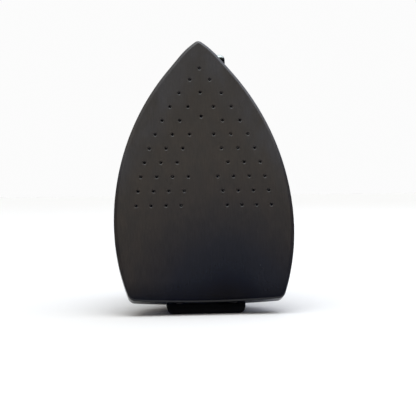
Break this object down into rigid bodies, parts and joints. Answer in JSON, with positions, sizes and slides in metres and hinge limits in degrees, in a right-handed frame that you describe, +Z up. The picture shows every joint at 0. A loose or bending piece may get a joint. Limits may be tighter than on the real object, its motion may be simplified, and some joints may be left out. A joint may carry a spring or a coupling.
{
  "type": "industrial steam iron",
  "caption": "Gravity-feed steam iron standing on its heel: pointed coated sole with steam holes, black base cover and arched handle, dial, trigger and a solenoid steam valve beside the toe.",
  "frame": {"origin": "centre of the bounding box's bottom, on the table that the iron stands on with its heel rest and the rubber foot of its handle", "axes": "+Z up, through the toe's end of the iron; -Y is the side of the sole; +X is the side of the steam valve"},
  "size_m": [0.136, 0.1626, 0.2096],
  "materials": {
    "coating": "satin",
    "cast_aluminium": "cast",
    "sheathed_steel": "oxidised",
    "silicone": "matte",
    "plate_steel": "satin",
    "screw_steel": "zinc plated",
    "mica": "matte",
    "black_plastic": "satin",
    "heel_plastic": "matte",
    "rubber": "matte",
    "ceramic": "glazed",
    "dial_plastic": "satin",
    "trigger_plastic": "satin",
    "nickel": "nickel plated",
    "brass": "turned",
    "lens": "clear red",
    "lamp_glass": "clear"
  },
  "bodies": {
    "iron": {"ptfe_shoe": "coating", "shoe_screw_left": "screw_steel", "shoe_screw_right": "screw_steel", "soleplate_casting": "cast_aluminium", "heating_element": "sheathed_steel", "chamber_gasket": "silicone", "chamber_cover": "plate_steel", "cover_screw_1": "screw_steel", "cover_screw_2": "screw_steel", "cover_screw_3": "screw_steel", "cover_screw_4": "screw_steel", "heat_shield": "mica", "base_cover": "black_plastic", "front_stud": "screw_steel", "front_nut": "screw_steel", "rear_stud": "screw_steel", "rear_nut": "screw_steel", "thermostat_body": "ceramic", "dial_ring": "plate_steel", "thermal_fuse": "lamp_glass", "fuse_clip": "brass", "terminal_block": "ceramic", "heel_bracket": "plate_steel", "bracket_screw_left": "screw_steel", "bracket_screw_right": "screw_steel", "heel_rest": "heel_plastic", "heel_screw_left": "screw_steel", "heel_screw_right": "screw_steel", "handle_shell_left": "black_plastic", "handle_shell_right": "black_plastic", "handle_screw_1": "screw_steel", "handle_screw_2": "screw_steel", "handle_screw_3": "screw_steel", "rear_foot_pad": "rubber", "trigger_pin": "screw_steel", "trigger_spring": "screw_steel", "microswitch_body": "black_plastic", "pilot_lens": "lens", "pilot_lamp": "lamp_glass", "gland_body": "black_plastic", "gland_nut": "black_plastic", "valve_body": "nickel", "steam_adapter": "brass", "core_tube": "nickel", "plunger_spring": "screw_steel", "solenoid_coil": "black_plastic", "coil_yoke": "plate_steel", "coil_nut": "nickel", "inlet_barb": "brass"},
    "dial": {"temperature_dial": "dial_plastic", "thermostat_shaft": "screw_steel"},
    "trigger": {"steam_trigger": "trigger_plastic"},
    "button": {"microswitch_button": "trigger_plastic"},
    "plunger": {"valve_plunger": "plate_steel"},
    "adjuster": {"steam_adjuster": "brass"}
  },
  "joints": [
    {"name": "dial_turn", "type": "hinge", "parent": "iron", "child": "dial", "pos_m": [0, -0.00261, 0.08308], "axis": [0, -0.9511, 0.309], "range_deg": [0, 280]},
    {"name": "trigger_pull", "type": "hinge", "parent": "iron", "child": "trigger", "pos_m": [0, 0.05636, 0.10861], "axis": [1, 0, 0], "range_deg": [0, 7], "stiffness_Nm_per_rad": 0.6, "springref_deg": -5.73, "deforming": ["trigger_spring"]},
    {"name": "switch_press", "type": "slide", "parent": "iron", "child": "button", "axis": [0, 0.9511, -0.309], "range_m": [0, 0.0013]},
    {"name": "plunger_lift", "type": "slide", "parent": "iron", "child": "plunger", "axis": [0, 0.9511, -0.309], "range_m": [0, 0.0021], "deforming": ["plunger_spring"]},
    {"name": "adjuster_turn", "type": "hinge", "parent": "iron", "child": "adjuster", "pos_m": [0.0013, 0.00865, 0.19088], "axis": [-1, 0, 0], "range_deg": [0, 540]}
  ],
  "couplings": [
    {"joint": "switch_press", "follows": "trigger_pull", "m_per_rad": 0.01},
    {"joint": "plunger_lift", "follows": "trigger_pull", "m_per_rad": 0.0164}
  ]
}
